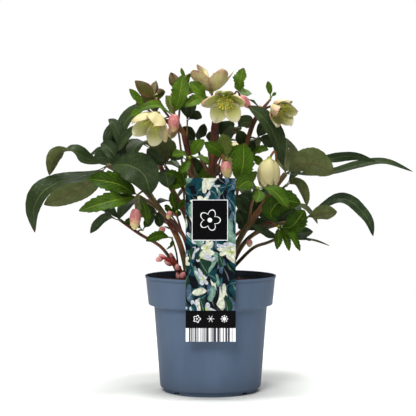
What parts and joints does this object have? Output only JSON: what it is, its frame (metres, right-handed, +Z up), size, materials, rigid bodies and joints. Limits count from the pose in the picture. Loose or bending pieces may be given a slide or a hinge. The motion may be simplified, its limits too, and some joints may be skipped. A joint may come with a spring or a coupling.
{
  "type": "potted hellebore plant",
  "caption": "Flowering hellebore with palmate leaves, open and nodding five-sepalled flowers and buds, standing in peat in a round flared nursery pot with a hang-over care label.",
  "frame": {"origin": "centre of the flat pad in the middle of the pot's underside, on the pot's axis", "axes": "+Z up along the pot's axis; -Y is the front, the side the label hangs on; +X is to the right seen from the front"},
  "size_m": [0.5005, 0.274, 0.4247],
  "materials": {
    "pot": "blue-grey moulded plastic, fine matte grain",
    "soil": "damp peat with fibres and crumbs",
    "label": "printed coated sheet, satin",
    "stem": "red-brown to olive stalk skin",
    "young_shoot": "pink-red juicy shoots",
    "leaf": "leathery dark green upper side, olive underside",
    "young_leaf": "bright green with yellow-green veins",
    "sepal": "soft cream and yellow-green, dusky pink outside",
    "faded_sepal": "olive-brown and purple, veined",
    "stamens": "powdery yellow",
    "bud": "dusky pink with cream tips"
  },
  "bodies": {
    "root": {"pot": "pot", "soil": "soil", "label": "label", "stem_left": "stem", "stem_left_bract": "stem", "stem_left_low": "stem", "stem_top_left": "stem", "stem_middle": "stem", "stem_middle_low": "stem", "stem_right_top": "stem", "stem_right": "stem", "stem_right_low": "stem", "stem_far_left": "stem", "stem_far_right": "stem", "young_shoot": "young_shoot", "leaf_left_arch": "leaf", "leaf_left_upright": "leaf", "leaf_left_low": "leaf", "leaf_middle_shade": "leaf", "leaf_middle_olive": "leaf", "leaf_middle_teal": "leaf", "leaf_right_arch": "leaf", "leaf_right_shade": "leaf", "leaf_right_olive": "leaf", "leaf_right_far": "leaf", "leaf_right_low": "leaf", "leaf_far_1": "leaf", "leaf_far_2": "leaf", "leaf_far_3": "leaf", "leaf_far_4": "leaf", "leaf_far_5": "leaf", "leaf_far_6": "leaf", "leaf_left_bract": "young_leaf", "bract_top_left": "young_leaf", "bract_faded_flower": "young_leaf", "bract_top_middle": "young_leaf", "bract_top_right": "young_leaf", "leaf_middle_star": "young_leaf", "leaf_middle_bud": "young_leaf", "leaf_middle_tall": "young_leaf", "leaf_right_bright": "young_leaf", "leaf_right_curled": "young_leaf", "flower_left": "sepal", "flower_cup": "sepal", "flower_front": "sepal", "flower_right": "sepal", "flower_globe": "sepal", "flower_far": "sepal", "flower_faded": "faded_sepal", "flower_dusky": "faded_sepal", "stamens_left": "stamens", "stamens_front": "stamens", "stamens_right": "stamens", "stamens_far": "stamens", "bud_left": "bud", "bud_top_left": "bud", "bud_top_middle": "bud", "bud_crimson": "bud", "bud_middle": "bud", "bud_far": "bud"}
  },
  "joints": []
}
